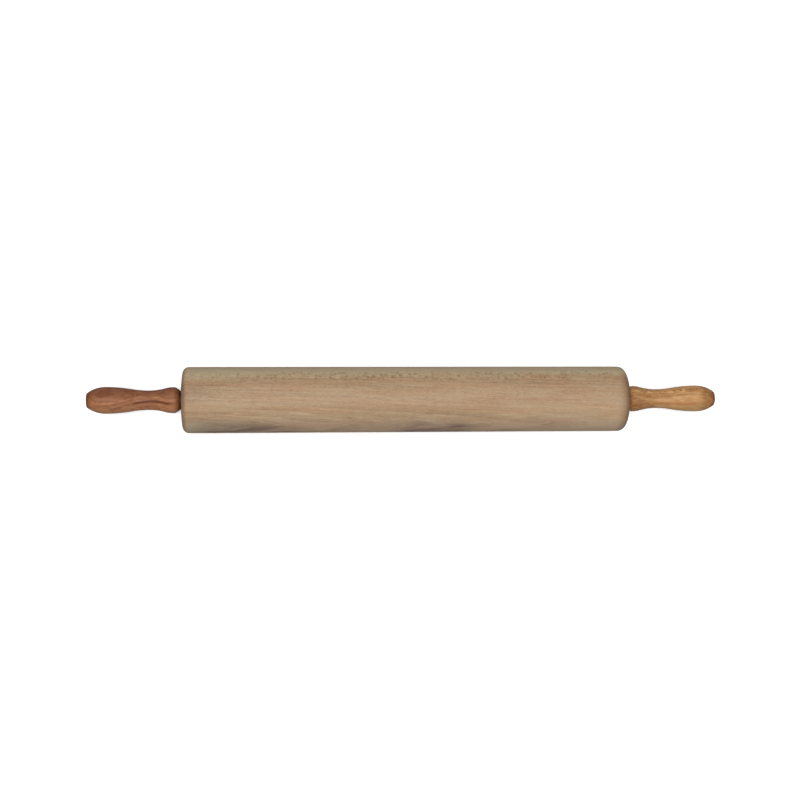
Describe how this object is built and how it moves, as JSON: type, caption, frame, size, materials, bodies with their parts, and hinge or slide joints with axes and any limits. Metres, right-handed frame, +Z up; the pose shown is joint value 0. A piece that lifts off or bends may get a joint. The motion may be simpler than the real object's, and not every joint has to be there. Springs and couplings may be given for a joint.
{
  "type": "rolling pin",
  "caption": "Baker's wooden rolling pin: a thick barrel with rounded rims turns freely on a steel axle between two turned, lacquered handles.",
  "frame": {"origin": "middle of the barrel, on the axle's centre line, which is also the centre of the whole pin", "axes": "+X along the axle towards the right handle, +Z up, +Y away from the picture's viewer; the pin is round about X"},
  "size_m": [0.6264, 0.065, 0.065],
  "materials": {
    "barrel_beech": "bare, finely sanded beech",
    "left_handle_wood": "clear lacquer on reddish brown beech",
    "right_handle_wood": "clear lacquer on honey-coloured beech",
    "axle_steel": "drawn bright steel",
    "bush_nylon": "natural moulded nylon",
    "washer_steel": "pressed steel, zinc coated",
    "thrust_washer_steel": "blackened steel, oiled",
    "spring_steel": "oiled spring steel",
    "screw_steel": "blackened alloy steel"
  },
  "bodies": {
    "axle_and_handles": {"axle_rod": "axle_steel", "left_thrust_washer": "thrust_washer_steel", "left_handle": "left_handle_wood", "left_handle_screw": "screw_steel", "left_screw_washer": "washer_steel", "left_lock_washer": "spring_steel", "left_end_plug": "left_handle_wood", "right_thrust_washer": "thrust_washer_steel", "right_handle": "right_handle_wood", "right_handle_screw": "screw_steel", "right_screw_washer": "washer_steel", "right_lock_washer": "spring_steel", "right_end_plug": "right_handle_wood"},
    "barrel": {"barrel": "barrel_beech", "left_bush": "bush_nylon", "right_bush": "bush_nylon"}
  },
  "joints": [
    {"name": "barrel_spin", "type": "hinge", "parent": "axle_and_handles", "child": "barrel", "pos_m": [0, 0, 0], "axis": [1, 0, 0], "continuous": true}
  ]
}
